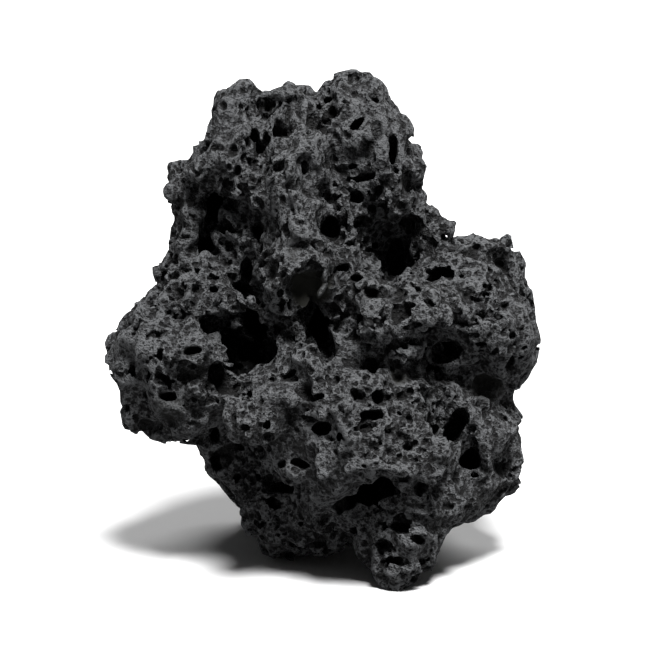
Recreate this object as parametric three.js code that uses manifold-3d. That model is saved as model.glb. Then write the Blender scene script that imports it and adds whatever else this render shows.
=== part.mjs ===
// A hand-sized lump of dark lava rock: one solid stone, narrow at the crown and broad at the waist.
// A field of overlapping lumps, roughened and with the deep hollows taken out of it, is given a faceted skin.
// Millimetres, +Z up. The origin is at the middle of the bounding box, on the surface that the stone rests on.

import * as THREE from "three";
import { mergeVertices } from "three/addons/utils/BufferGeometryUtils.js";
import { ImprovedNoise } from "three/addons/math/ImprovedNoise.js";
import { MarchingCubes } from "three/addons/objects/MarchingCubes.js";
import Module from "manifold-3d";

// Driving dimensions: the stone's bounding box, across, front to back and up.
const WIDTH = 130;
const DEPTH = 108;
const HEIGHT = 148;

const GRID = { cells: 38, span: 1.15 }; // the field's cells along a side, and its side over the stone's height
const SHORTEST_CUT = 0.16; // no grid line is cut nearer to its end than this share of it
const MOST_TRIANGLES = 30000; // room for the skin's triangles before the stone is cut
const MERGE_WITHIN = 0.001; // corners closer than this are one corner, in millimetres
const BLEND = 2; // how softly two lumps run together, in millimetres
const CARVE_BLEND = 1.2; // how softly two hollows run together
const CRAGS = { height: 2.4, length: 19, sharpness: 2.5, shift: 3.1 }; // broad swells of the skin, in millimetres
const CHIPS = { height: 1.3, length: 8, shift: 8.7 }; // small chips in it
const FOOT_CUT = 1.8; // how much of the lowest foot is worn flat

// Each lump and hollow: where its middle is and how far it reaches, as shares of the stone's size.
// at is across from the middle (left is negative), back from the middle (front is negative) and up from the base.
// turn leans its top to the right, in degrees.
const lumps = [
  // the body
  { name: "core", at: [0.02, 0.02, 0.38], size: [0.22, 0.36, 0.25] },
  { name: "waist", at: [0.04, 0.04, 0.55], size: [0.2, 0.33, 0.2] },
  { name: "back", at: [0.0, 0.26, 0.4], size: [0.26, 0.22, 0.28] },
  // the crown
  { name: "crown", at: [-0.03, 0.08, 0.75], size: [0.17, 0.24, 0.16] },
  { name: "crown left", at: [-0.165, 0.03, 0.875], size: [0.075, 0.19, 0.09] },
  { name: "crown right", at: [0.085, 0.06, 0.875], size: [0.075, 0.19, 0.09] },
  { name: "crown edge", at: [0.155, 0.06, 0.79], size: [0.055, 0.18, 0.12] },
  { name: "crown back", at: [-0.02, 0.22, 0.78], size: [0.14, 0.17, 0.14] },
  { name: "right flank", at: [0.19, 0.05, 0.72], size: [0.06, 0.18, 0.11] },
  // the ridge down the front
  { name: "ridge top", at: [-0.06, -0.12, 0.85], size: [0.05, 0.12, 0.1] },
  { name: "ridge middle", at: [-0.07, -0.2, 0.73], size: [0.055, 0.14, 0.12] },
  { name: "ridge foot", at: [-0.05, -0.27, 0.61], size: [0.06, 0.14, 0.08] },
  // the left side
  { name: "left column", at: [-0.2, -0.04, 0.76], size: [0.075, 0.18, 0.14] },
  { name: "left knob", at: [-0.285, 0.04, 0.725], size: [0.055, 0.13, 0.055] },
  { name: "left cheek", at: [-0.25, 0.03, 0.65], size: [0.07, 0.19, 0.06] },
  { name: "left shelf", at: [-0.275, 0.0, 0.535], size: [0.105, 0.24, 0.065] },
  { name: "left lobe", at: [-0.315, -0.08, 0.4], size: [0.145, 0.3, 0.135] },
  { name: "left tip", at: [-0.43, -0.04, 0.39], size: [0.06, 0.17, 0.07] },
  { name: "left heel", at: [-0.36, -0.06, 0.325], size: [0.085, 0.17, 0.05] },
  { name: "neck", at: [-0.18, 0.06, 0.25], size: [0.085, 0.22, 0.13] },
  // the right side
  { name: "shoulder", at: [0.36, 0.04, 0.505], size: [0.12, 0.29, 0.125] },
  { name: "shoulder top", at: [0.385, 0.02, 0.575], size: [0.07, 0.2, 0.052] },
  { name: "shoulder edge", at: [0.43, 0.0, 0.44], size: [0.07, 0.25, 0.12] },
  { name: "spur", at: [0.28, -0.02, 0.668], size: [0.022, 0.05, 0.04], turn: -45 },
  { name: "flank", at: [0.36, 0.02, 0.28], size: [0.105, 0.28, 0.14] },
  { name: "flank foot", at: [0.37, -0.02, 0.17], size: [0.08, 0.2, 0.07] },
  // the front
  { name: "brow", at: [0.2, -0.26, 0.53], size: [0.12, 0.18, 0.08] },
  { name: "apron", at: [0.1, -0.28, 0.3], size: [0.24, 0.24, 0.145] },
  { name: "nose", at: [-0.13, -0.3, 0.35], size: [0.09, 0.2, 0.085] },
  { name: "ledge", at: [-0.03, -0.3, 0.41], size: [0.1, 0.16, 0.06] },
  // the underside
  { name: "left foot", at: [-0.085, -0.02, 0.09], size: [0.07, 0.2, 0.105] },
  { name: "middle foot", at: [0.03, -0.1, 0.14], size: [0.12, 0.22, 0.11] },
  { name: "front foot", at: [0.2, -0.3, 0.084], size: [0.085, 0.15, 0.105] },
  { name: "right toe", at: [0.29, -0.14, 0.14], size: [0.085, 0.18, 0.065] },
  { name: "right foot", at: [0.22, 0.27, 0.125], size: [0.12, 0.18, 0.14] },
  { name: "back foot", at: [-0.1, 0.29, 0.13], size: [0.125, 0.18, 0.145] },
];

const hollows = [
  { name: "left cave", at: [-0.24, -0.16, 0.67], size: [0.05, 0.22, 0.075], turn: 12 },
  { name: "left slot", at: [-0.15, -0.35, 0.5], size: [0.045, 0.35, 0.09], turn: 8 },
  { name: "right slot", at: [-0.01, -0.4, 0.52], size: [0.035, 0.32, 0.07], turn: -4 },
  { name: "right cave", at: [0.15, -0.22, 0.66], size: [0.053, 0.26, 0.075], turn: -15 },
  { name: "brow cave", at: [0.28, -0.38, 0.48], size: [0.055, 0.18, 0.045], turn: 30 },
  { name: "apron hole", at: [0.115, -0.5, 0.18], size: [0.055, 0.24, 0.045] },
  { name: "flank hole", at: [0.335, -0.4, 0.25], size: [0.04, 0.2, 0.038] },
  { name: "flank slit", at: [0.3, -0.42, 0.33], size: [0.045, 0.18, 0.04], turn: 35 },
  { name: "crown hole", at: [-0.135, -0.16, 0.93], size: [0.04, 0.14, 0.035], turn: 30 },
  { name: "crown dip", at: [-0.03, 0.0, 1.0], size: [0.045, 0.4, 0.055] },
  { name: "shoulder notch", at: [0.315, 0.05, 0.65], size: [0.022, 0.4, 0.035], turn: -20 },
];

const wasm = await Module();
wasm.setup();
const improved = new ImprovedNoise();
const box = new THREE.Vector3(WIDTH, DEPTH, HEIGHT);

// A lump or hollow as a ball: its middle, its reach and the turn that stands it upright again.
function ballOf({ at, size, turn = 0 }) {
  const lean = new THREE.Quaternion().setFromAxisAngle(
    new THREE.Vector3(0, 1, 0),
    THREE.MathUtils.degToRad(turn),
  );
  return {
    middle: new THREE.Vector3(...at).multiply(box),
    reach: new THREE.Vector3(...size).multiply(box),
    upright: lean.invert(),
  };
}

const lumpBalls = lumps.map(ballOf);
const hollowBalls = hollows.map(ballOf);

// Roughly how far a point lies outside a stretched ball, in millimetres: negative inside it.
function gapTo({ middle, reach, upright }, point) {
  const local = point.clone().sub(middle).applyQuaternion(upright).divide(reach);
  const share = local.length();
  const slope = local.divide(reach).length();
  return (share * (share - 1)) / Math.max(slope, Number.EPSILON);
}

// Smooth noise from -1 to 1 whose swells are about length across, shifted to a part of the noise of its own.
function noiseAt(point, { length, shift }) {
  return improved.noise(point.x / length + shift, point.y / length, point.z / length - shift);
}

// The smallest of the gaps to a group of balls, with the creases between them rounded by blend.
function gapToAny(balls, point, blend) {
  const pull = balls.reduce((sum, ball) => sum + Math.exp(-gapTo(ball, point) / blend), 0);
  return -blend * Math.log(pull + Number.MIN_VALUE);
}

// Roughly how far a point lies outside the stone: the roughened lumps, less the hollows.
function outside(point) {
  const crag = CRAGS.height * (1 - CRAGS.sharpness * Math.abs(noiseAt(point, CRAGS)));
  const chip = CHIPS.height * noiseAt(point, CHIPS);
  const lumpGap = gapToAny(lumpBalls, point, BLEND) - crag - chip;
  const hollowDepth = -gapToAny(hollowBalls, point, CARVE_BLEND) + chip;
  return Math.max(lumpGap, hollowDepth);
}

// The stone's faceted skin: the field is sampled on a cubic grid and cut where it changes sign.
// A sample that lies very near the skin is moved a little off it, which keeps the facets from being slivers.
function skin() {
  const cubes = new MarchingCubes(GRID.cells, new THREE.Material(), false, false, MOST_TRIANGLES);
  const side = GRID.span * HEIGHT;
  const cell = side / GRID.cells;
  const lift = HEIGHT / 2;
  const place = new THREE.Vector3();
  for (let i = 0; i < cubes.size3; i += 1) {
    const across = i % cubes.size;
    const back = Math.floor(i / cubes.size) % cubes.size;
    const up = Math.floor(i / cubes.size2);
    place.set(across, back, up).subScalar(cubes.halfsize).multiplyScalar(cell);
    place.z += lift;
    const depth = -outside(place) / cell;
    cubes.field[i] = Math.sign(depth) * Math.max(Math.abs(depth), SHORTEST_CUT);
  }
  cubes.isolation = 0;
  cubes.update();
  const corners = cubes.geometry.getAttribute("position").array.slice(0, 3 * cubes.count);
  const geometry = new THREE.BufferGeometry();
  geometry.setAttribute("position", new THREE.BufferAttribute(corners, 3));
  return geometry.scale(side / 2, side / 2, side / 2).translate(0, 0, lift);
}

// A geometry as a manifold-3d solid, with shared corners merged.
function solidOf(geometry) {
  const bare = geometry.index ? geometry.toNonIndexed() : geometry.clone();
  bare.deleteAttribute("normal");
  bare.deleteAttribute("uv");
  const merged = mergeVertices(bare, MERGE_WITHIN);
  return new wasm.Manifold(
    new wasm.Mesh({
      numProp: 3,
      vertProperties: merged.getAttribute("position").array,
      triVerts: new Uint32Array(merged.index.array),
    }),
  );
}

// The skin as a solid, less what lies below the worn feet.
function stoneSolid() {
  const rough = outerShell(solidOf(skin()));
  const below = new THREE.BoxGeometry(2 * WIDTH, 2 * DEPTH, HEIGHT);
  below.translate(0, 0, rough.boundingBox().min[2] + FOOT_CUT - HEIGHT / 2);
  return outerShell(rough.subtract(solidOf(below)));
}

// The largest of a solid's separate shells, which leaves out crumbs and fills sealed voids.
function outerShell(solid) {
  return solid.decompose().reduce((most, next) => (next.volume() > most.volume() ? next : most));
}

// A manifold-3d solid as a three.js geometry.
function geometryOf(solid) {
  const mesh = solid.getMesh();
  const places = new Float32Array(mesh.numVert * 3);
  for (let i = 0; i < mesh.numVert; i += 1) {
    const start = i * mesh.numProp;
    places.set(mesh.vertProperties.subarray(start, start + 3), i * 3);
  }
  const geometry = new THREE.BufferGeometry();
  geometry.setAttribute("position", new THREE.BufferAttribute(places, 3));
  geometry.setIndex(new THREE.BufferAttribute(mesh.triVerts, 1));
  return geometry;
}

// The stone scaled to its driving dimensions, with its base's middle at the origin.
function fittedToBox(geometry) {
  geometry.computeBoundingBox();
  const { min, max } = geometry.boundingBox;
  geometry.translate(-(min.x + max.x) / 2, -(min.y + max.y) / 2, -min.z);
  geometry.scale(WIDTH / (max.x - min.x), DEPTH / (max.y - min.y), HEIGHT / (max.z - min.z));
  geometry.computeVertexNormals();
  return geometry;
}

const basalt = new THREE.MeshStandardMaterial({ color: 0x3a3b3c, roughness: 0.95, metalness: 0 });
const stone = new THREE.Mesh(fittedToBox(geometryOf(stoneSolid())), basalt);
stone.name = "lava_rock";

const lavaRock = new THREE.Group();
lavaRock.add(stone);

export default lavaRock;
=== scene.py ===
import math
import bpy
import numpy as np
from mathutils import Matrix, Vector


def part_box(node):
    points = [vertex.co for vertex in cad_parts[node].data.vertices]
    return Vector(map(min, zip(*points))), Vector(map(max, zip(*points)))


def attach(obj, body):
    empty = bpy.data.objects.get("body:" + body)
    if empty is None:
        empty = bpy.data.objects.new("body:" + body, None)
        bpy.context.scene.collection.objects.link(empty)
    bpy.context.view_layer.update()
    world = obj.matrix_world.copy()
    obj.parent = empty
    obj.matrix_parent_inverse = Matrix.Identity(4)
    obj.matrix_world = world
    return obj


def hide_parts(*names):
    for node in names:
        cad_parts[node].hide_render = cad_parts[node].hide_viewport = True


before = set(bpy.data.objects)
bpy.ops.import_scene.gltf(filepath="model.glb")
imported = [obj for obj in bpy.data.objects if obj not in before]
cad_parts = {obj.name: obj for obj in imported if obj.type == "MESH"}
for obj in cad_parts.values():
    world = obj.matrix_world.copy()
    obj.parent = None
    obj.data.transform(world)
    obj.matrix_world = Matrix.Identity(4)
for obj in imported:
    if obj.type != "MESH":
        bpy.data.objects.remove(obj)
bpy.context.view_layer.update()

# A lump of dark lava rock on a pale floor.
# The stone's skin is full of caves and bubbles that undercut it, which no sheet over two parameters can
# follow. So the skin is drawn round a block of distances instead: whole numpy arrays that start from the
# solid stone, take on crests, crags, listed caves and scattered bubbles, and are meshed where they
# pass through zero. Inside the block everything is in millimetres, and distances are negative in the
# stone.

import openvdb as vdb

mm = 0.001
node = "lava_rock"
nodeLow, nodeHigh = (np.array(corner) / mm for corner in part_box(node))

# the line of sight, which the camera and every listed feature use; the point looked at is in metres
sight = {"elevation": 12.0, "lens": 182.0, "distance": 1.0, "aim": (-0.0003, 0.0, 0.0725)}
tilt = math.radians(sight["elevation"])
viewRight = np.array([1.0, 0.0, 0.0])
viewUp = np.array([0.0, math.sin(tilt), math.cos(tilt)])
viewIn = np.array([0.0, math.cos(tilt), -math.sin(tilt)])
eye = np.array(sight["aim"]) / mm - viewIn * sight["distance"] / mm

stone = {
    "step": 0.5,      # side of a cell of the block, mm
    "margin": 4.5,                      # air round the stone, mm
    "coarseStep": 1.0,                  # side of a cell of the first, coarse block, mm
    "coarseMargin": 4.0,                # the air that the coarse block has over and above the margin, mm
    "reach": 12.0,                      # how far from the solid's skin its distances are worked out, mm
    "softening": 1.3,                   # how far the solid's facets are blurred, mm
    "crags": [(24.0, 1.9), (10.0, 1.4), (5.0, 0.9), (2.8, 0.5)],   # ridged noise: length and height, mm
    "flutes": (2.8, 15.0, 0.6),         # upright grooves: length across and up, and depth, mm
    "grit": (1.9, 0.24),                # last, small ridged noise: length and height, mm
    "level": 0.75,                      # ridged noise is 0 where the plain noise has this size
    "ragged": 2.6,                      # swell length of the noise that roughens caves and bubbles, mm
    "brittle": (0.8, 0.6),              # blur, and the blurred distance beyond which a flake breaks off, mm
    "wear": 0.6,                        # how much the crags are worn back to the solid's size, mm
    "bubbleFloor": 4.5,                 # nothing but a cave goes deeper than this, mm
    "triangles": 198500,
    "creaseAngle": 42.0,                # edges sharper than this are left sharp, degrees
    "seed": 11,
}


# Middles of a block's cells along each axis, from the low corner to the high one.
def cellAxes(low, high, step):
    return [np.arange(a, b + step, step, dtype=np.float32) for a, b in zip(low, high)]


# Carries a block onto finer axes: each new value is the mean of the four old ones nearest along each
# axis, by the weights of a cubic B-spline: (1 - f)^3 / 6, (3f^3 - 6f^2 + 4) / 6, (-3f^3 + 3f^2 + 3f + 1)
# / 6 and f^3 / 6.
def carried(block, axes, newAxes):
    for axis in (2, 1, 0):
        place = (newAxes[axis] - axes[axis][0]) / (axes[axis][1] - axes[axis][0])
        cell = np.floor(place).astype(int)
        f = (place - cell).astype(np.float32)
        weights = [(1 - f) ** 3 / 6, (3 * f ** 3 - 6 * f ** 2 + 4) / 6,
                   (-3 * f ** 3 + 3 * f ** 2 + 3 * f + 1) / 6, f ** 3 / 6]
        shape = [-1 if i == axis else 1 for i in range(3)]
        total = 0
        for tap, weight in enumerate(weights):
            index = np.clip(cell + tap - 1, 0, block.shape[axis] - 1)
            total = total + np.take(block, index, axis=axis) * weight.reshape(shape)
        block = total
    return block


# Blurs a block: along each axis in turn, every value becomes the bell-weighted mean of those within two
# widths.
def blurred(block, width):
    taps = np.exp(-0.5 * (np.arange(int(2 * width) + 1) / width) ** 2).astype(np.float32)
    taps /= taps[0] + 2 * taps[1:].sum()
    for axis in range(3):
        turned = np.moveaxis(block, axis, 0)
        total = turned * taps[0]
        for shift, weight in enumerate(taps[1:], start=1):
            total[shift:] += weight * turned[:-shift]
            total[:-shift] += weight * turned[shift:]
            total[:shift] += weight * turned[:1]
            total[-shift:] += weight * turned[-1:]
        block = np.moveaxis(total, 0, axis)
    return np.ascontiguousarray(block)


# Smooth noise of mean 0 and spread 1: random values on a lattice as coarse as the swells, carried onto
# the block.
def noiseBlock(axes, lengths, rng):
    lattice = [np.arange(a[0] - 2 * s, a[-1] + 3 * s, s, dtype=np.float32) for a, s in zip(axes, lengths)]
    values = carried(rng.standard_normal([len(a) for a in lattice]).astype(np.float32), lattice, axes)
    values -= values.mean()
    values /= values.std()
    return values


# Ridged noise, which is lowest along the lines where the plain noise crosses zero, and so leaves sharp
# crests there: height * (|noise| - level).
def ridgedBlock(axes, length, height, rng):
    return height * (np.abs(noiseBlock(axes, (length,) * 3, rng)) - stone["level"])


# The solid stone's distances: the level set of its triangles, wide enough to carry the roughening.
def solidBlock(name, axes, step):
    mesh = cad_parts[name].data
    mesh.calc_loop_triangles()
    corners = np.empty(len(mesh.vertices) * 3, np.float32)
    mesh.vertices.foreach_get("co", corners)
    triangles = np.empty(len(mesh.loop_triangles) * 3, np.int32)
    mesh.loop_triangles.foreach_get("vertices", triangles)
    grid = vdb.FloatGrid.createLevelSetFromPolygons(
        corners.reshape(-1, 3) / mm, triangles=triangles.reshape(-1, 3).astype(np.uint32),
        transform=vdb.createLinearTransform(step), halfWidth=stone["reach"] / step)
    block = np.empty([len(a) for a in axes], np.float32)
    grid.copyToArray(block, ijk=tuple(int(round(a[0] / step)) for a in axes))
    return block


# Values of a block at free points: the eight cells round each point, weighted by closeness.
def sampled(block, axes, points):
    place = [(points[:, i] - axes[i][0]) / (axes[i][1] - axes[i][0]) for i in range(3)]
    cell = [np.clip(p.astype(np.int32), 0, n - 2) for p, n in zip(place, block.shape)]
    part = [np.clip(p - c, 0, 1).astype(np.float32) for p, c in zip(place, cell)]
    total = np.zeros(len(points), np.float32)
    for corner in np.ndindex(2, 2, 2):
        weight = np.prod([part[i] if corner[i] else 1 - part[i] for i in range(3)], axis=0)
        total += weight * block[cell[0] + corner[0], cell[1] + corner[1], cell[2] + corner[2]]
    return total


# how far the outline is let out: height as a share of the stone's, then mm to the left and to the right
outline = {
    "hinge": 25.0,                      # the shift is whole this far from the upright axis, mm
    "shifts": [
        (0, 0, -1.5), (0.06, 1.5, -0.8), (0.1, 2.8, 1), (0.14, 4.4, 2.8), (0.18, 5.8, 2.6),
        (0.22, 4.4, 2), (0.26, 3, 1.2), (0.3, 1.4, 1), (0.34, -0.8, -0.8), (0.38, 0, 0.2),
        (0.46, 1.8, -0.4), (0.5, 3.4, -1.5), (0.54, 2.4, -2.2), (0.58, 2.6, -3), (0.62, 3.4, -3.2),
        (0.66, 3.2, -1.6), (0.7, 0.4, 0), (0.74, -0.6, -1.6), (0.78, 1.8, -2), (0.82, 4, 0),
        (0.86, 3, -1), (0.9, 2, -1.4), (0.94, 2.6, -1.6), (1, 1, -3.4),
    ],
}


# Lets the outline out: slice by slice up the stone, a cell takes the value found nearer the upright axis,
# by the outline's shift at that height times |x| / hinge up to 1, weighted between the two old cells
# round it.
def letOut(block, axes):
    x = axes[0]
    share, left, right = np.array(outline["shifts"]).T
    heights = (axes[2] - nodeLow[2]) / (nodeHigh[2] - nodeLow[2])
    lefts, rights = np.interp(heights, share, left), np.interp(heights, share, right)
    for k, (toLeft, toRight) in enumerate(zip(lefts, rights)):
        source = x - np.where(x < 0, -toLeft, toRight) * np.minimum(np.abs(x) / outline["hinge"], 1)
        place = np.clip((source - x[0]) / (x[1] - x[0]), 0, len(x) - 1.001)
        cell = place.astype(int)
        part = (place - cell).astype(np.float32)[:, None]
        block[:, :, k] = block[cell, :, k] * (1 - part) + block[cell + 1, :, k] * part


# How softly each kind of ball joins the stone, in mm (for a bubble, as a share of its radius), and how
# ragged its skin is, as a share of its least radius.
joins = {"lump": (1.5, 0.06), "stroke": (1.0, 0.12), "cave": (0.5, 0.14), "bubble": (0.15, 0.16)}


# Takes a leaning, stretched ball out of the block (side 1) or adds it (side -1). With p a place in the
# ball's own axes, k = |p / reach| and m = |p / reach^2|, its gap is k (k - 1) / m, less the ragged noise.
# The new distance is the larger of side * old and -gap, plus (ease - difference)^2 / (4 ease) where the
# two differ by less than ease.
def blendBall(block, axes, middle, turn, reach, ease, side, ragged, rough):
    least = float(reach.min())
    spare = 1.2         # mm of the block that are worked over beyond the ball
    span = np.sqrt(turn ** 2 @ reach ** 2) + ease + 2 * rough * least + spare
    low = [int(np.searchsorted(a, m - s)) for a, m, s in zip(axes, middle, span)]
    high = [int(np.searchsorted(a, m + s)) for a, m, s in zip(axes, middle, span)]
    if min(h - l for h, l in zip(high, low)) < 1:
        return
    crop = tuple(slice(l, h) for l, h in zip(low, high))
    sides = [a[c] - m for a, c, m in zip(axes, crop, middle)]
    away = np.stack(np.meshgrid(*sides, indexing="ij"), axis=-1)
    own = away.astype(np.float32) @ (turn / reach).astype(np.float32) + np.float32(1e-5)
    share = np.sqrt((own ** 2).sum(-1))
    slope = np.sqrt(((own / reach.astype(np.float32)) ** 2).sum(-1))
    depth = share * (1 - share) / slope + rough * least * ragged[crop]
    old = side * block[crop]
    near = np.maximum(ease - np.abs(old - depth), 0)
    block[crop] = side * (np.maximum(old, depth) + near * near / (4 * ease))


# A turn whose columns are a leaning right, a leaning up and the line of sight.
def leaning(degrees):
    lean = math.radians(degrees)
    right = viewRight * math.cos(lean) - viewUp * math.sin(lean)
    top = viewRight * math.sin(lean) + viewUp * math.cos(lean)
    return np.stack([right, top, viewIn], axis=1)


# Directions of sight to places in the outline: in + slope across * right + slope up * up, made one long.
# The slopes run from the least to the most under which the solid's corners are seen.
def sightLines(across, up):
    away = np.array([v.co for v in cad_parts[node].data.vertices]) / mm - eye
    seen = np.stack([away @ viewRight, away @ viewUp], axis=1) / (away @ viewIn)[:, None]
    low, high = seen.min(0), seen.max(0)
    slopeAcross = (low[0] + high[0]) / 2 + across / 100 * (high[0] - low[0])
    slopeUp = low[1] + up / 100 * (high[1] - low[1])
    rays = viewIn + slopeAcross[:, None] * viewRight + slopeUp[:, None] * viewUp
    return rays / np.linalg.norm(rays, axis=1)[:, None]


# Where lines of sight meet the stone, or pass closest to it: from half the solid's diagonal before the
# point looked at, they are stepped along by nine tenths of the distance left, and by 0.27 mm at least.
def metByEye(block, axes, places):
    places = np.array(places, float)
    rays = sightLines(places[:, 0], places[:, 1])
    travelled = np.full(len(rays), sight["distance"] / mm - np.linalg.norm(nodeHigh - nodeLow) / 2)
    best = travelled.copy()
    nearest = np.full(len(rays), np.inf)
    for _ in range(110):
        gap = sampled(block, axes, eye + travelled[:, None] * rays)
        closer = gap < nearest
        best[closer] = travelled[closer]
        nearest = np.minimum(nearest, gap)
        travelled += np.where(nearest > 0.05, np.maximum(gap, 0.3) * 0.9, 0)
    return eye + best[:, None] * rays


# Places on the stone are given as it is looked at: across from the middle of its outline and up from its
# foot, both as percentages of the outline. Lengths are in mm, and leans of the top to the right are in
# degrees.

# lumps raised from the skin: across, up, half width, half height, half depth, lean, how far it stands
# proud
lumps = [
    (-10, 37.8, 11, 6, 9, 0, 2.6), (-6.5, 44.2, 6, 3.8, 7, 10, 3), (-7, 50.4, 5.2, 6.4, 9, 0, 7),
    (-17.5, 33, 6, 4.5, 7, 0, 2), (20, 54.5, 8, 3.6, 7, 0, 2), (13.5, 49, 6, 5.5, 6, -20, 2.2),
    (-10.8, 96.4, 6.5, 4.4, 12, 0, 4.5), (2.6, 96.6, 2.6, 2.8, 5, 0, 1.4), (9, 96.6, 5, 2.6, 8, 0, 1.2),
    (26.8, 69.8, 2.2, 2.8, 3.4, 25, 2.6), (-20.5, 49, 4, 4, 5, 0, 2), (-22.5, 67.5, 4.4, 3.2, 4, 20, 2),
    (-24.5, 74.5, 12, 13, 14, 0, -2), (-19.5, 71.5, 9, 13, 12, 0, -6), (-25.4, 67.6, 8, 7, 10, 0, -3),
    (17.5, 16.5, 6.5, 3.6, 6, 15, 1.6), (-24, 55, 7, 2.6, 5, 0, 1.4), (22.5, 24, 5, 4, 5, 0, 1.4),
    (30, 46.5, 11, 7, 9, 0, 5), (18, 46.5, 8, 5.5, 7, 0, 3.5), (33, 41.5, 9, 5, 8, 0, 2.4),
    (37.4, 66.6, 6.6, 3.8, 8, 0, 2.4), (-22.4, 93, 4, 7, 8, -6, 1.4),
]

# crests and grooves: half width, how high or deep they are, and the places that they run through
crests = [
    (2.4, 3.2, [(-6, 95), (-3.6, 92), (-2.8, 88), (-5.6, 85.4), (-9, 82.6), (-8.6, 79), (-7, 75),
                (-6, 71), (-8, 68)]),
    (2, 2.6, [(-9, 84), (-13, 80), (-16, 76), (-19.5, 71)]),
    (3.2, 1, [(-20, 97), (-20.5, 90), (-21.2, 84)]),
    (1.6, 1.2, [(0, 90), (4, 88.4), (8.5, 88.9), (12, 91.5)]),
    (1.8, 1.3, [(3, 97), (5, 92), (4, 88.5)]),
    (1.6, 1.2, [(9.6, 96), (12, 93), (13.4, 89), (14, 84)]),
    (2, 1.5, [(8, 50), (12, 52.2), (17, 50.4), (21, 47.4), (28, 42)]),
    (1.8, 1.6, [(10, 54), (14, 56.4), (19, 56.8), (24, 57.6), (26.4, 54), (28.4, 51)]),
    (1.6, 1.4, [(-36, 55), (-30, 56.4), (-24, 55.4), (-20, 53)]),
    (1.8, 1.6, [(-31, 48.2), (-27, 47), (-22.5, 47.4)]),
    (2, 1.4, [(-34, 61.6), (-28, 63.6), (-22, 62.4), (-19, 66)]),
    (1.8, 1.1, [(-42, 54), (-41.4, 48), (-43.4, 42), (-42.8, 36)]),
    (1.8, 1.6, [(-1, 22.4), (6, 24), (13, 24.4), (20, 23)]),
    (1.7, 1.5, [(28.4, 39), (27.8, 35), (26, 30), (26.4, 27)]),
    (1.8, 1.2, [(36.6, 66), (37, 61), (40, 56.6)]),
    (2, 1.5, [(-4, 33.6), (4, 35), (4.6, 30), (2.4, 25.6)]),
    (1.5, 1.3, [(-26, 69.2), (-22, 69.4), (-19.4, 66)]),
]
grooves = [
    (1.5, 3.5, [(-1.6, 90.6), (-1, 87.8)]),
    (2.1, 5.4, [(-2.2, 81.5), (-0.6, 78), (1.4, 74.2)]),
    (1.2, 2.4, [(-4.2, 82.6), (-3.6, 79)]),
    (3.4, 7, [(-17.4, 45), (-20.6, 42), (-19.8, 37.6)]),
    (1.7, 3.6, [(-22.4, 30.4), (-20, 26), (-14.6, 21.4), (-8, 20.4), (-3.4, 18.6)]),
    (2.2, 3, [(-39, 38), (-34, 36), (-28.6, 34)]),
    (1.8, 3.2, [(12.6, 11.4), (19, 13.2), (24, 13), (30, 11.4)]),
    (1.3, 2.6, [(29, 52.4), (33, 51.6), (37, 52.6)]),
    (1.2, 2, [(-44.5, 50), (-42.6, 44), (-44, 39)]),
    (1.2, 2.2, [(-20.4, 95), (-19.6, 91)]),
    (3, 5, [(-5.2, 98.6), (-3.6, 97.4), (-1.8, 98)]),
    (1.5, 6, [(32.2, 69.2), (30.8, 67.8)]),
    (1.4, 2.6, [(24, 43.4), (28.4, 41), (33, 41.4)]),
    (1.3, 2.4, [(6, 56), (10, 57.6), (14, 60)]),
]


# Raises lumps and crests and cuts grooves. A crest or groove is a row of balls, about a third of its half
# width apart. Gives back the points that the crests run through.
def shapeByHand(block, axes, ragged):
    met = metByEye(block, axes, [row[:2] for row in lumps])
    ease, rough = joins["lump"]
    for place, (_, _, wide, high, deep, lean, proud) in zip(met, lumps):
        reach = np.array([wide, high, deep], float)
        middle = place + viewIn * (deep - proud)
        blendBall(block, axes, middle, leaning(lean), reach, ease, -1, ragged, rough)
    ease, rough = joins["stroke"]
    spine = []
    for strokes, side in ((crests, -1), (grooves, 1)):
        for width, height, path in strokes:
            path = np.array(path, float)
            run = np.concatenate([[0], np.cumsum(np.hypot(*np.diff(path, axis=0).T))])
            steps = np.linspace(0, run[-1], max(2, int(run[-1] * 4 / width)))
            points = np.stack([np.interp(steps, run, path[:, i]) for i in (0, 1)], axis=1)
            offset = (width - height) * -side
            reach = np.full(3, width, float)
            places = metByEye(block, axes, points)
            if side < 0:
                spine.append(places)
            for place in places:
                blendBall(block, axes, place + viewIn * offset, np.eye(3), reach, ease, side, ragged, rough)
    print("shaped", len(lumps), "lumps,", len(crests), "crests and", len(grooves), "grooves")
    return np.concatenate(spine)


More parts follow.
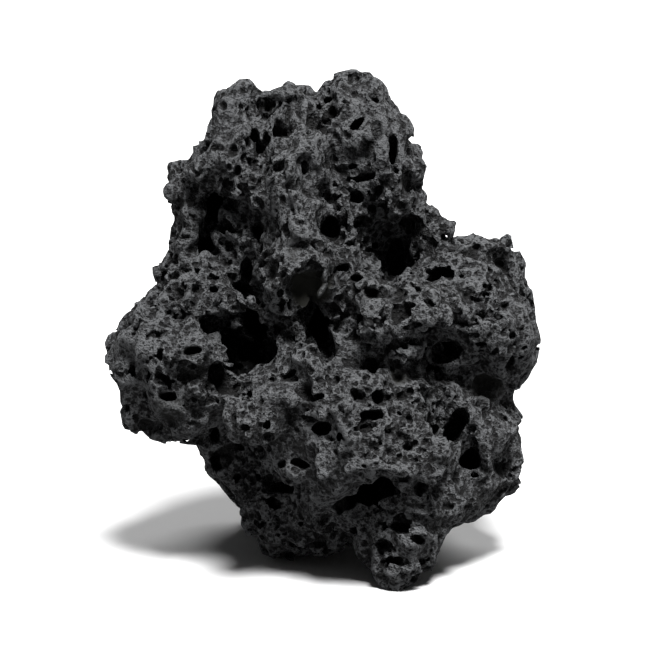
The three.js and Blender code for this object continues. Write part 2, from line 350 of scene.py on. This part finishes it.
# caves by region: across, up, half width, half height, depth, lean
caves = {
    "crown": [
        (-13.9, 94.2, 3.3, 2.8, 6, 0), (-13.9, 92.6, 1.5, 2.2, 6, 0), (-16.4, 88.4, 1.5, 3, 5, -15),
        (-15.8, 86, 1.2, 2.2, 6, -5), (-8.8, 92.2, 1, 2.6, 5, 15), (-11.6, 89.2, 1, 1.8, 4, 20),
        (-8.2, 89.4, 0.9, 1.8, 4, 20), (-14, 87.6, 0.9, 2.6, 4, 0), (1.4, 92.8, 1.5, 2.2, 8, 0),
        (7.2, 90.6, 2.9, 1.5, 8, -40), (-1.6, 94, 1.4, 1.4, 5, 0), (0.4, 90.8, 1.1, 1.2, 5, 0),
        (12, 89.2, 1.8, 3.4, 2.4, -8), (8.6, 85.4, 5.6, 5.2, 2.2, -35), (15.7, 85.6, 1.6, 4.8, 9, 3),
        (9.7, 80.3, 4.4, 1.2, 4, -8), (19.6, 79.2, 1.9, 3.6, 9, 0), (7.2, 76.4, 2, 1.8, 7, 0),
        (13.4, 74.9, 2, 1.3, 6, 0), (19.7, 87.1, 1.2, 2, 4, 30), (12.4, 77.4, 1.6, 2.4, 5, 30),
        (1.2, 70.6, 3, 4.4, 11, -12), (8, 71.6, 3.2, 1.9, 7, -25), (3, 74.2, 1.4, 1, 4, 0),
        (5.4, 70.2, 1.2, 0.9, 4, 0), (-5, 82.2, 1, 2.2, 4, 0), (-11.4, 82.2, 1, 1.4, 4, 0),
        (-17, 83, 1.4, 1, 3, 0), (6.4, 82.4, 1.6, 0.9, 4, -10), (11.6, 95, 1.2, 1.2, 3, 0),
    ],
    "left": [
        (-24.8, 75.2, 5.4, 5.2, 9, 25), (-23.2, 78.2, 2, 2.8, 5, 10), (-19.6, 74.4, 3, 4.4, 9, 5),
        (-20.4, 70.8, 2, 2.6, 7, 10), (-24.2, 70.6, 3.2, 2.6, 5, 30), (-28.2, 67, 3, 3.4, 8, 25),
        (-15.7, 69.8, 1.7, 3.2, 8, 0), (-18.4, 62, 2.2, 3.8, 10, 0), (-19.4, 58.8, 2.8, 2, 9, 20),
        (-20.4, 81.7, 1.5, 2, 7, 0), (-20, 78.6, 1, 1.2, 5, 0), (-22.6, 66.8, 1.6, 1.6, 3, 0),
        (-27.4, 51.4, 4.4, 3.2, 6, -20), (-33.2, 41, 2.8, 1.7, 7, 0), (-38.4, 41.5, 2, 1, 5, 20),
        (-28.6, 41.4, 12, 6, 6, 8), (-31, 46.4, 3.2, 1.4, 5, -10), (-37, 37.6, 2.8, 1.5, 4, 0),
        (-37, 32.4, 3.4, 2.4, 4, 10), (-38.6, 45.4, 1.1, 1.9, 4, 0), (-45.1, 42.4, 1, 1.9, 3, -5),
        (-26.2, 58.3, 1.6, 1.3, 4, 0), (-30.4, 58.4, 1.6, 1.5, 4, 0), (-36.1, 60.8, 2, 1.2, 4, 0),
        (-33.6, 54.2, 1.6, 1.2, 3, 0), (-34.2, 51.3, 1.4, 1.2, 3, 0), (-25.6, 60.6, 1.2, 0.9, 3, 0),
        (-13.8, 62.9, 2.8, 1.5, 6, 0), (-18.2, 67, 1.8, 1.3, 3, 0), (-13.8, 60.9, 1.7, 1.1, 4, 30),
        (-42, 37.8, 1.2, 1.4, 3, 0),
    ],
    "middle": [
        (-16.4, 52.2, 4.8, 7.6, 20, -4), (-14.6, 46.6, 5.8, 5.8, 18, 10), (-19.6, 46, 9, 10, 17, 5),
        (-23, 40.4, 6, 5, 10, 30), (-0.8, 52.2, 3.5, 7.2, 16, 6), (0.2, 46.8, 2.8, 5, 14, -10),
        (-3.9, 58.7, 6.4, 6, 9, 0), (16.6, 64.6, 5.8, 7.4, 16, -12), (19.6, 70.8, 5, 3.8, 11, 0),
        (14.4, 61, 2.6, 2.6, 10, 0), (26.9, 61.6, 3.8, 1.8, 6, 0), (10.4, 57.9, 2.9, 2.2, 7, 10),
        (3.8, 62.6, 2.4, 1.4, 6, -10), (7.4, 60.6, 2.2, 1.4, 5, 0), (7.4, 64.8, 1.3, 1.9, 5, 0),
        (-1.3, 66.6, 1.5, 1.9, 6, 0), (6, 67.4, 2.2, 0.9, 5, -20), (11.6, 66.8, 1.4, 1, 4, 0),
        (4.6, 53.4, 1.4, 1.2, 4, 0), (8.4, 52.4, 1.4, 2.2, 6, 0), (-10.6, 57.8, 1.2, 1.4, 4, 0),
        (-4.4, 49.4, 1, 1, 3, 0),
    ],
    "shoulder": [
        (41, 63.6, 2.8, 2.2, 5, 10), (33.4, 51.9, 3.6, 0.9, 4, 5), (42.2, 55.2, 2.2, 1.4, 4, -10),
        (40.6, 53, 1.6, 1.1, 4, 0), (35.8, 56.3, 1.4, 0.9, 3, 0), (37.2, 59.2, 1, 0.8, 3, 0),
        (43.6, 49.4, 1.5, 1.5, 4, 0), (36.4, 47.8, 2.1, 0.7, 3, 0), (43.2, 43.7, 2.2, 2.2, 3, 0),
        (37.6, 39.4, 4.4, 4, 3.5, 30), (42.4, 61.8, 1.4, 1, 4, 0), (46, 58.4, 1.2, 2, 3, 0),
    ],
    "brow": [
        (20.1, 51.2, 3.6, 1.1, 4, -18), (28.4, 46.8, 4.2, 3.8, 11, 20), (27.4, 44.6, 3, 1.4, 7, 0),
        (20.6, 48.1, 1.6, 1, 4, 0), (11, 43.2, 1.6, 2.8, 7, 15), (17, 41.2, 1.8, 1.4, 3, 0),
        (25, 37.4, 3.6, 3, 8, 35), (22.6, 35.4, 1.8, 1.5, 6, 30), (7.6, 37.6, 3, 1.7, 6, 40),
        (12.2, 37.4, 1.7, 2.2, 6, -10), (10.6, 33.9, 3.6, 1.6, 7, 5), (17.3, 34.2, 1.1, 1, 3, 0),
        (17.4, 45.4, 1.9, 0.8, 4, 0), (18, 54.9, 1.6, 0.9, 4, 0), (13.4, 52.6, 1.2, 0.8, 3, 0),
    ],
    "apron": [
        (-0.8, 31.4, 3.4, 2.2, 7, -8), (30.2, 31.4, 3.4, 6, 14, 22), (33.8, 31, 2.2, 1.3, 5, 0),
        (25.6, 31, 1.2, 1.8, 5, 15), (33.8, 25.2, 3.6, 3.6, 12, 0), (34.8, 22.2, 1.6, 1, 4, 0),
        (40, 24.2, 1.5, 2.6, 5, 0), (43.3, 21.8, 0.9, 1, 3, 0), (28, 25.1, 1.5, 1, 4, -40),
        (17.6, 21.6, 3.3, 1.4, 3, 0), (22.4, 19.9, 2.2, 2, 6, 0), (11.2, 20, 9, 8, 18, 0),
        (4.6, 17, 4.6, 3.8, 5, 15), (-5.8, 24.4, 3.4, 1.3, 4, 8), (-10.2, 24.4, 1.6, 1.4, 3, 0),
        (-1.8, 37.4, 2.4, 1.2, 5, -20), (-8.2, 41.8, 2.4, 1, 4, -40), (-4.2, 34.9, 0.9, 0.7, 3, 0),
        (3.2, 29.8, 1, 1.4, 4, 0), (14.6, 30.8, 1.6, 1, 4, 30), (19.4, 27.4, 1.2, 0.9, 3, 0),
        (2.4, 26.4, 1, 2, 3, -15), (26.4, 21.4, 0.9, 1.6, 4, -30), (30.6, 27.8, 1.2, 0.9, 3, 0),
    ],
    "nose": [
        (-15.5, 27.3, 2.7, 2.4, 5, 0), (-13.4, 29.6, 1.9, 1.5, 4, 0), (-21.4, 27.4, 2.4, 2, 6, 0),
        (-26, 30.3, 1.9, 2.9, 8, -10), (-20.8, 21.8, 1.1, 1.1, 3, 0), (-13.6, 32, 1, 1.2, 3, 0),
    ],
    "underside": [
        (-9.6, 19.6, 6.4, 1.9, 7, 3), (-14.6, 12.7, 1.2, 1.3, 4, 0), (-5.8, 12.7, 0.9, 0.9, 3, 0),
        (17.6, 11.9, 3.8, 1.8, 6, 10), (13.4, 8.7, 3, 1.9, 6, 0), (21.8, 9.6, 2.6, 1.6, 6, 30),
        (-2.4, 8.6, 4, 1, 4, 0), (22.7, 5.5, 1.8, 1.5, 3, 0), (3.4, 15.4, 1.6, 1.6, 5, 20),
        (-12.6, 17.4, 1.6, 1.2, 4, 0), (17, 5.6, 1.2, 1.2, 3, 0), (0.8, 11.6, 1.2, 1.2, 3, 0),
    ],
}


# Hollows out the listed caves. A cave's ball sits a quarter of its depth behind the skin, along the
# view.
def carveCaves(block, axes, ragged):
    rows = [row for region in caves.values() for row in region]
    met = metByEye(block, axes, [row[:2] for row in rows])
    ease, rough = joins["cave"]
    for place, (_, _, wide, high, deep, lean) in zip(met, rows):
        reach = np.array([wide, high, deep], float)
        middle = place + viewIn * deep * 0.25
        blendBall(block, axes, middle, leaning(lean), reach, ease, 1, ragged, rough)
    print("carved", len(rows), "caves")


calm = {
    "depth": 9.0,           # how far in along the view a calm place reaches, mm
    "fade": (1.5, 0.6),     # calmness ends at this many times a place's size, and takes so much to be whole
    "glassFade": (1.15, 0.2),       # and the same for glassiness
    # places that few bubbles break: across, up, half width, half height, and how glassy and olive they are
    "places": [
        (-3.9, 58.7, 6.6, 6.4, 1), (8.6, 85.8, 5.4, 5, 0), (12.2, 89, 2.4, 4.4, 0),
        (37.6, 39.4, 5, 4.6, 0.7), (17, 41.2, 3, 2.6, 0.8), (-31, 46.4, 3.8, 2.2, 0.9),
        (-37, 35, 5, 5, 0.5), (-47, 46.4, 4.4, 5.4, 0), (-23.4, 92, 3.6, 10, 0),
        (-25.4, 49.4, 4, 3, 0.2), (-10.4, 38.4, 5.6, 2.6, 0), (1, 25.4, 3, 3, 0),
        (4.6, 17.4, 5.4, 3.8, 0.6), (-7.4, 66, 1.6, 5, 0.6), (4.2, 91, 1.8, 3.4, 0),
        (-25, 33.4, 4, 2.6, 0.3),
    ],
}


# How calm the skin is at free points, and how glassy: with k = |place's own coordinates / its size|,
# calmness is (end - k) / run between 0 and 1, and glassiness is the same with its own fade, times how
# glassy the place is. met are the points where the calm places lie.
def calmAt(points, met):
    calmness = np.zeros(len(points))
    glassiness = np.zeros(len(points))
    end, run = calm["fade"]
    glassEnd, glassRun = calm["glassFade"]
    for place, (_, _, wide, high, glass) in zip(met, calm["places"]):
        away = points - place
        own = (away @ viewRight / wide, away @ viewUp / high, away @ viewIn / calm["depth"])
        share = np.sqrt(own[0] ** 2 + own[1] ** 2 + own[2] ** 2)
        calmness = np.maximum(calmness, np.clip((end - share) / run, 0, 1))
        glassiness = np.maximum(glassiness, np.clip((glassEnd - share) / glassRun, 0, 1) * glass)
    return calmness, glassiness


# bubbles: spacing and radii in mm, the share that burst through, and how stretched they are
bubbles = [
    {"spacing": 11.0, "radius": (2.2, 4.2), "share": 0.55, "stretch": 1.7},
    {"spacing": 5.8, "radius": (1.35, 2.5), "share": 0.85, "stretch": 1.8},
    {"spacing": 3.2, "radius": (0.9, 1.5), "share": 1.1, "stretch": 1.8},
    {"spacing": 2.1, "radius": (0.7, 1.0), "share": 1.2, "stretch": 1.6},
]

# what all bubbles have in common
scatter = {
    "jitter": 0.48,                 # how far one strays from its lattice point, as a share of the spacing
    "depths": (-0.45, 0.6),         # how far under the skin their middles lie, in radii
    "crowdLength": 17.0,            # length of the swells in how crowded they are, mm
    "crowding": (0.55, 0.15, 1.6),  # how much the swells change the share, and the least and most of it
    "quiet": 0.93,                  # the share of them that a calm place keeps away
    "upright": (0.55, 6.0, 3.0),    # the share of the height where they begin to stand up, how fast, how much
}


# Scatters bubbles of one size on a loose lattice near the skin, one to a cell, and hollows them out.
# Their radii are low + (high - low) * random^2. Their long axes point anywhere, and mostly up the stone
# near the crown.
def burstBubbles(block, axes, kind, rng, crowding, met, ragged):
    spacing = kind["spacing"]
    lattice = np.meshgrid(*[np.arange(a[0], a[-1], spacing) for a in axes], indexing="ij")
    middles = np.stack([m.ravel() for m in lattice], axis=1)
    middles += rng.uniform(-scatter["jitter"], scatter["jitter"], middles.shape) * spacing
    low, high = kind["radius"]
    radii = low + (high - low) * rng.random(len(middles)) ** 2
    chance = rng.random(len(middles))
    depth = -sampled(block, axes, middles)
    swell, fewest, most = scatter["crowding"]
    share = kind["share"] * np.clip(1.0 + swell * sampled(crowding, axes, middles), fewest, most)
    share *= 1 - scatter["quiet"] * calmAt(middles, met)[0]
    shallow, deep = scatter["depths"]
    wanted = (depth > shallow * radii) & (depth < deep * radii) & (chance < share)
    middles, radii = middles[wanted], radii[wanted]
    random = rng.standard_normal((len(middles), 3, 3))
    start, growth, full = scatter["upright"]
    upness = np.clip((middles[:, 2] / nodeHigh[2] - start) * growth, 0, full)
    random[:, :, 0] += upness[:, None] * np.array([0.0, 0.2, 1.0])
    turns, _ = np.linalg.qr(random)
    longer = rng.uniform(1.0, kind["stretch"], len(middles))
    ease, rough = joins["bubble"]
    for middle, radius, turn, longest in zip(middles, radii, turns, longer):
        reach = np.array([radius * longest, radius, radius / math.sqrt(longest)])
        blendBall(block, axes, middle, turn, reach, ease * radius, 1, ragged, rough)
    print("burst", len(middles), "bubbles of up to", high, "mm")


# The whole stone as a block of distances, its skin before the caves and before the bubbles, the block's
# axes, the points where the calm places lie, and those that the crests run through.
def stoneBlock():
    rng = np.random.default_rng(stone["seed"])
    margin, step, coarseStep = stone["margin"], stone["step"], stone["coarseStep"]
    coarseMargin = margin + stone["coarseMargin"]
    coarseLow = np.floor((nodeLow - coarseMargin) / coarseStep) * coarseStep
    coarse = cellAxes(coarseLow, nodeHigh + coarseMargin, coarseStep)
    fine = cellAxes(nodeLow - margin, nodeHigh + margin, step)
    solid = blurred(solidBlock(node, coarse, coarseStep), stone["softening"] / coarseStep)
    block = carried(solid, coarse, fine)
    letOut(block, fine)
    ragged = noiseBlock(fine, (stone["ragged"],) * 3, rng)
    print("read the solid's distances", block.shape)
    spine = shapeByHand(block, fine, ragged)
    for length, height in stone["crags"]:
        block += ridgedBlock(fine, length, height, rng)
    block += stone["wear"]
    across, up, depth = stone["flutes"]
    block += depth * noiseBlock(fine, (across, across, up), rng)
    unbroken = block.copy()
    carveCaves(block, fine, ragged)
    met = metByEye(block, fine, [row[:2] for row in calm["places"]])
    smooth = block.copy()
    crowding = noiseBlock(fine, (scatter["crowdLength"],) * 3, rng)
    for kind in bubbles:
        burstBubbles(block, fine, kind, rng, crowding, met, ragged)
    block = np.minimum(block, smooth + stone["bubbleFloor"] + ragged)
    block += ridgedBlock(fine, *stone["grit"], rng)
    width, slack = stone["brittle"]
    block = np.maximum(block, blurred(block, width / step) - slack)
    block = np.maximum(block, nodeLow[2] - fine[2][None, None, :])   # the feet end at the floor
    print("roughened and worn the stone")
    return block, unbroken, smooth, fine, met, spine


# The largest joined shell of a mesh: every corner takes the lowest label among its neighbours until none
# changes.
def largestShell(points, faces):
    label = np.arange(len(points))
    while True:
        lowest = label[faces].min(1)
        after = label.copy()
        for column in range(faces.shape[1]):
            np.minimum.at(after, faces[:, column], lowest)
        after = after[after]
        if np.array_equal(after, label):
            break
        label = after
    kept = label == np.bincount(label).argmax()
    number = np.cumsum(kept) - 1
    return points[kept], number[faces[kept[faces[:, 0]]]]


# Meshes the block where it passes through zero, keeps the outer shell and thins it to the wanted
# triangles.
def stoneMesh(block, axes):
    step = float(axes[0][1] - axes[0][0])
    grid = vdb.FloatGrid(float(stone["margin"]))
    grid.copyFromArray(block)
    points, _, quads = grid.convertToPolygons(isovalue=0.0, adaptivity=0.0)
    origin = np.array([a[0] for a in axes])
    points, quads = largestShell(points * step + origin, quads.astype(np.int64))
    print("meshed", len(quads), "faces")
    mesh = bpy.data.meshes.new("lava_rock_surface")
    mesh.vertices.add(len(points))
    mesh.vertices.foreach_set("co", (points * mm).astype(np.float32).ravel())
    mesh.loops.add(quads.size)
    mesh.loops.foreach_set("vertex_index", quads.ravel().astype(np.int32))
    mesh.polygons.add(len(quads))
    mesh.polygons.foreach_set("loop_start", np.arange(0, quads.size, 4, dtype=np.int32))
    mesh.update(calc_edges=True)
    mesh.validate()
    piece = bpy.data.objects.new("lava_rock_surface", mesh)
    bpy.context.scene.collection.objects.link(piece)
    thin = piece.modifiers.new("thin", "DECIMATE")
    thin.ratio = stone["triangles"] / (2 * len(quads))
    thin.use_collapse_triangulate = True
    thinned = bpy.data.meshes.new_from_object(piece.evaluated_get(bpy.context.evaluated_depsgraph_get()))
    piece.modifiers.clear()
    piece.data = thinned
    bpy.data.meshes.remove(mesh)
    thinned.name = "lava_rock_surface"
    thinned.shade_smooth()
    thinned.set_sharp_from_angle(angle=math.radians(stone["creaseAngle"]))
    print("thinned to", len(thinned.polygons), "faces")
    return piece


# Writes a number for each corner of the mesh.
def giveAttribute(mesh, name, values):
    attribute = mesh.attributes.new(name, "FLOAT", "POINT")
    attribute.data.foreach_set("value", values.astype(np.float32))


# the numbers that the finish reads at the skin; lengths in mm
marks = {
    # rim: paler where the skin stands out, worn, and darker in hollows as painted shade
    "rimBlur": 0.9,         # a rim is what stands out of the stone blurred by this much
    "rimSlope": 0.9,        # how fast it grows with every mm that it stands out
    # painted shade in the bubbles, darkest at this depth
    "bubbleShadeDepth": 2.5,       # bubbles are at their darkest this deep
    # painted shade in the caves, growing with depth under the skin
    "deep": (6.0, 0.2),     # the depth over which caves darken by 1, and what is taken off that
    # worn: a painted highlight along the crests, fullest on their middle lines
    "worn": (1.3, 5.0),     # what a crest's middle line has, and the length over which it falls by 1
}


# Numbers that the material reads at each corner: how far it stands out of its surroundings (paler rims, and
# painted shade in hollows), how deep it lies under the skin before the bubbles and before the caves (painted
# shade down in bubbles and caves), how near to a crest (a painted highlight), and how calm and glassy it is.
def markSurface(mesh, block, unbroken, smooth, axes, met, spine):
    places = np.empty(len(mesh.vertices) * 3, np.float32)
    mesh.vertices.foreach_get("co", places)
    places = places.reshape(-1, 3) / mm
    soft = blurred(block, marks["rimBlur"] / stone["step"])
    # paler on worn rims that stand out, and darker in hollows as painted shade
    giveAttribute(mesh, "rim", np.clip(0.5 + marks["rimSlope"] * sampled(soft, axes, places), 0, 1))
    # painted shade down in the bubbles, darker the deeper they lie
    giveAttribute(mesh, "bubbleShade", np.clip(-sampled(smooth, axes, places) / marks["bubbleShadeDepth"], 0, 1))
    caveShadeDepth, start = marks["deep"]
    # painted shade down in the caves
    giveAttribute(mesh, "deep", np.clip(-sampled(unbroken, axes, places) / caveShadeDepth - start, 0, 1))
    # worn: a painted highlight along the crests' middle lines
    away = np.full(len(places), np.inf, np.float32)
    for point in spine.astype(np.float32):
        np.minimum(away, ((places - point) ** 2).sum(1), out=away)
    top, fall = marks["worn"]
    giveAttribute(mesh, "worn", np.clip(top - np.sqrt(away) / fall, 0, 1))
    calmness, glassiness = calmAt(places, met)
    giveAttribute(mesh, "calm", calmness)
    giveAttribute(mesh, "glassy", glassiness)
    print("marked the rims, the hollows and the crests")


# the stone's finish: noises go by so many swells to a metre, their detail and their roughness
rock = {
    "tones": [(0.0, (0.006, 0.006, 0.006)), (0.30, (0.021, 0.021, 0.022)), (0.60, (0.052, 0.053, 0.055)),
              (1.0, (0.15, 0.154, 0.16))],
    "olive": (0.006, 0.006, 0.004),
    "roughness": 0.85,
    "specular": 0.3,
    "bend": (420.0, 2.0, 0.6),      # the noise that warps the pores
    "bendReach": 0.0013,            # and how far, m
    "mottle": (55.0, 4.0, 0.6),     # broad changes of tone
    # grain: the bump's fine grain, whose low spots are also darker in tone, partly as painted shade
    "grain": (820.0, 3.0, 0.75),
    "grainDepth": 3.0,              # mm
    # pores: so many to a metre, how deep in mm, and how much painted shade they get
    "pores": [(280.0, 1.8, 0.4), (500.0, 1.3, 0.5), (880.0, 0.9, 0.55)],
    "poreSpread": 0.4,              # how much wider some pores are than others, in cells
    "poreWall": (0.02, 0.16),       # distances from a pore's middle between which its wall rises, in cells
    "evenness": 0.5,                # how much of the pores a calm or a glassy place evens out
    # paler: rims that stand out (darker in hollows, partly painted shade), mottle, grain (darker in its low
    # spots, partly painted shade), worn as a painted highlight along the crests, and a base everywhere
    "paler": {"rim": 0.95, "mottle": 0.36, "grain": 3.0, "worn": 0.18, "everywhere": 0.2},
    # how much painted shade the bubbles and the caves get
    "paintedShadeWeights": {"bubbleShade": 0.36, "deep": 0.6},
}


# Charcoal grey, with painted shade down in the bubbles, the caves and the pores, paler on rims that stand
# out and darker in hollows (partly painted shade), and a painted highlight along the crests. Pores are round
# pits at the middles of a warped Voronoi pattern's cells: pore = smooth step down of (distance - spread * the
# cell's own random number), times how uneven the place is. Height = grain - sum of depth * pore. Shade = sum
# of what makes the place paler, less the sum of painted shade, and a ramp turns it into a tone. Glassy places
# are olive, without grain.
def rockMaterial():
    material = bpy.data.materials.new("lavaRock")
    material.use_nodes = True
    tree = material.node_tree
    nodes, links = tree.nodes, tree.links
    shader = nodes["Principled BSDF"]
    shader.inputs["Roughness"].default_value = rock["roughness"]
    shader.inputs["Specular IOR Level"].default_value = rock["specular"]

    def plug(value, socket):
        if isinstance(value, bpy.types.NodeSocket):
            links.new(value, socket)
        else:
            socket.default_value = value

    def math2(operation, a, b):
        made = nodes.new("ShaderNodeMath")
        made.operation = operation
        plug(a, made.inputs[0])
        plug(b, made.inputs[1])
        return made.outputs[0]

    # runs smoothly from 1 at low down to 0 at high
    def smoothFall(value, low, high):
        made = nodes.new("ShaderNodeMapRange")
        made.interpolation_type = "SMOOTHSTEP"
        settings = {"Value": value, "From Min": low, "From Max": high, "To Min": 1.0, "To Max": 0.0}
        for key, setting in settings.items():
            plug(setting, made.inputs[key])
        return made.outputs["Result"]

    def noise(vector, scale, detail, roughness):
        made = nodes.new("ShaderNodeTexNoise")
        settings = {"Vector": vector, "Scale": scale, "Detail": detail, "Roughness": roughness}
        for key, setting in settings.items():
            plug(setting, made.inputs[key])
        return made.outputs

    # noise that swings evenly about 0
    def swing(settings):
        return math2("SUBTRACT", noise(coords, *settings)["Fac"], 0.5)

    def attribute(name):
        made = nodes.new("ShaderNodeAttribute")
        made.attribute_name = name
        return made.outputs["Fac"]

    # adds value * weight to total
    def plus(total, value, weight):
        return math2("ADD", total, math2("MULTIPLY", value, weight))

    coords = nodes.new("ShaderNodeTexCoord").outputs["Object"]
    bend = nodes.new("ShaderNodeVectorMath")
    bend.operation = "MULTIPLY_ADD"
    plug(noise(coords, *rock["bend"])["Color"], bend.inputs[0])
    bend.inputs[1].default_value = (rock["bendReach"],) * 3
    plug(coords, bend.inputs[2])
    grain, mottle = swing(rock["grain"]), swing(rock["mottle"])
    glassy = attribute("glassy")
    even = math2("MULTIPLY", math2("ADD", attribute("calm"), glassy), rock["evenness"])
    rough = math2("SUBTRACT", 1.0, even)
    grainDepth = math2("MULTIPLY", math2("SUBTRACT", 1.0, glassy), rock["grainDepth"])
    height = math2("MULTIPLY", grain, grainDepth)
    paler, paintedShadeWeights = rock["paler"], rock["paintedShadeWeights"]
    # painted shade down in the bubbles, the caves and, below, the pores
    dark = plus(math2("MULTIPLY", attribute("bubbleShade"), paintedShadeWeights["bubbleShade"]), attribute("deep"), paintedShadeWeights["deep"])
    for scale, depth, poreShade in rock["pores"]:
        cell = nodes.new("ShaderNodeTexVoronoi")
        plug(bend.outputs[0], cell.inputs["Vector"])
        cell.inputs["Scale"].default_value = scale
        split = nodes.new("ShaderNodeSeparateColor")
        plug(cell.outputs["Color"], split.inputs[0])
        widening = math2("MULTIPLY", split.outputs[0], rock["poreSpread"])
        away = math2("SUBTRACT", cell.outputs["Distance"], widening)
        pore = math2("MULTIPLY", smoothFall(away, *rock["poreWall"]), rough)
        height = math2("SUBTRACT", height, math2("MULTIPLY", pore, depth))
        # painted shade in the pore
        dark = plus(dark, pore, poreShade)
    # rims paler and hollows darker, partly painted shade; grain darker in its low spots, partly painted
    # shade; worn, a painted highlight along the crests
    shade = plus(math2("MULTIPLY", attribute("rim"), paler["rim"]), mottle, paler["mottle"])
    shade = plus(plus(shade, grain, paler["grain"]), attribute("worn"), paler["worn"])
    shade = math2("SUBTRACT", math2("ADD", shade, paler["everywhere"]), dark)
    ramp = nodes.new("ShaderNodeValToRGB")
    plug(shade, ramp.inputs["Fac"])
    for index, (position, color) in enumerate(rock["tones"]):
        element = ramp.color_ramp.elements[index] if index < 2 else ramp.color_ramp.elements.new(position)
        element.position = position
        element.color = (*color, 1)
    mix = nodes.new("ShaderNodeMix")
    mix.data_type = "RGBA"
    plug(glassy, mix.inputs["Factor"])
    plug(ramp.outputs["Color"], mix.inputs[6])
    mix.inputs[7].default_value = (*rock["olive"], 1)
    plug(mix.outputs[2], shader.inputs["Base Color"])
    bump = nodes.new("ShaderNodeBump")
    bump.inputs["Strength"].default_value = 1.0
    bump.inputs["Distance"].default_value = mm
    plug(height, bump.inputs["Height"])
    plug(bump.outputs["Normal"], shader.inputs["Normal"])
    print("mixed the lava's finish")
    return material


studio = {
    "floorReach": 6.0,          # m
    "floorColor": 0.9,          # the floor's paleness to the eye
    "floorGlow": 0.25,          # and as it lights the stone
    "floorRoughness": 0.9,
    # strength, then spread and lean in degrees
    "suns": [("overhead", 6.4, 18.0, (26.0, 0.0, 14.0)), ("behind", 1.7, 40.0, (-46.0, 0.0, -24.0))],
    "ambient": 0.06,
}


# A number that is one thing to the eye and another as light: a Light Path switch between the two.
def eyeSwitch(nodes, links, toEye, toLight, socket):
    path = nodes.new("ShaderNodeLightPath")
    level = nodes.new("ShaderNodeMapRange")
    level.inputs["To Min"].default_value = toLight
    level.inputs["To Max"].default_value = toEye
    links.new(path.outputs["Is Camera Ray"], level.inputs["Value"])
    links.new(level.outputs["Result"], socket)


# A pale floor that lights the stone's underside only a little, soft light from above and a white room.
def buildStage():
    mesh = bpy.data.meshes.new("floor")
    r = studio["floorReach"]
    mesh.from_pydata([(-r, -r, 0), (r, -r, 0), (r, r, 0), (-r, r, 0)], [], [(0, 1, 2, 3)])
    floor = bpy.data.objects.new("floor", mesh)
    bpy.context.scene.collection.objects.link(floor)
    material = bpy.data.materials.new("paleFloor")
    material.use_nodes = True
    nodes, links = material.node_tree.nodes, material.node_tree.links
    shader = nodes["Principled BSDF"]
    shader.inputs["Roughness"].default_value = studio["floorRoughness"]
    shader.inputs["Specular IOR Level"].default_value = 0.0
    eyeSwitch(nodes, links, studio["floorColor"], studio["floorGlow"], shader.inputs["Base Color"])
    mesh.materials.append(material)
    for name, strength, spread, lean in studio["suns"]:
        lamp = bpy.data.lights.new(name, "SUN")
        lamp.energy = strength
        lamp.angle = math.radians(spread)
        light = bpy.data.objects.new(name, lamp)
        light.rotation_euler = [math.radians(a) for a in lean]
        bpy.context.scene.collection.objects.link(light)
    world = bpy.data.worlds.new("room")
    bpy.context.scene.world = world
    world.use_nodes = True
    nodes, links = world.node_tree.nodes, world.node_tree.links
    background = nodes["Background"]
    background.inputs["Color"].default_value = (1, 1, 1, 1)
    eyeSwitch(nodes, links, 1.0, studio["ambient"], background.inputs["Strength"])
    bpy.context.scene.view_settings.view_transform = "Standard"
    print("laid the floor and set", len(studio["suns"]), "lights")


# The camera stands back from its aim along the line of sight.
def placeCamera():
    camera = bpy.data.objects.new("camera", bpy.data.cameras.new("camera"))
    bpy.context.scene.collection.objects.link(camera)
    camera.data.lens = sight["lens"]
    camera.location = eye * mm
    camera.rotation_euler = (math.pi / 2 - tilt, 0, 0)
    bpy.context.scene.camera = camera
    print("placed the camera")


block, unbroken, smooth, axes, met, spine = stoneBlock()
piece = stoneMesh(block, axes)
markSurface(piece.data, block, unbroken, smooth, axes, met, spine)
piece.data.materials.append(rockMaterial())
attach(piece, "root")
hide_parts(node)
print("finished the stone")
buildStage()
placeCamera()
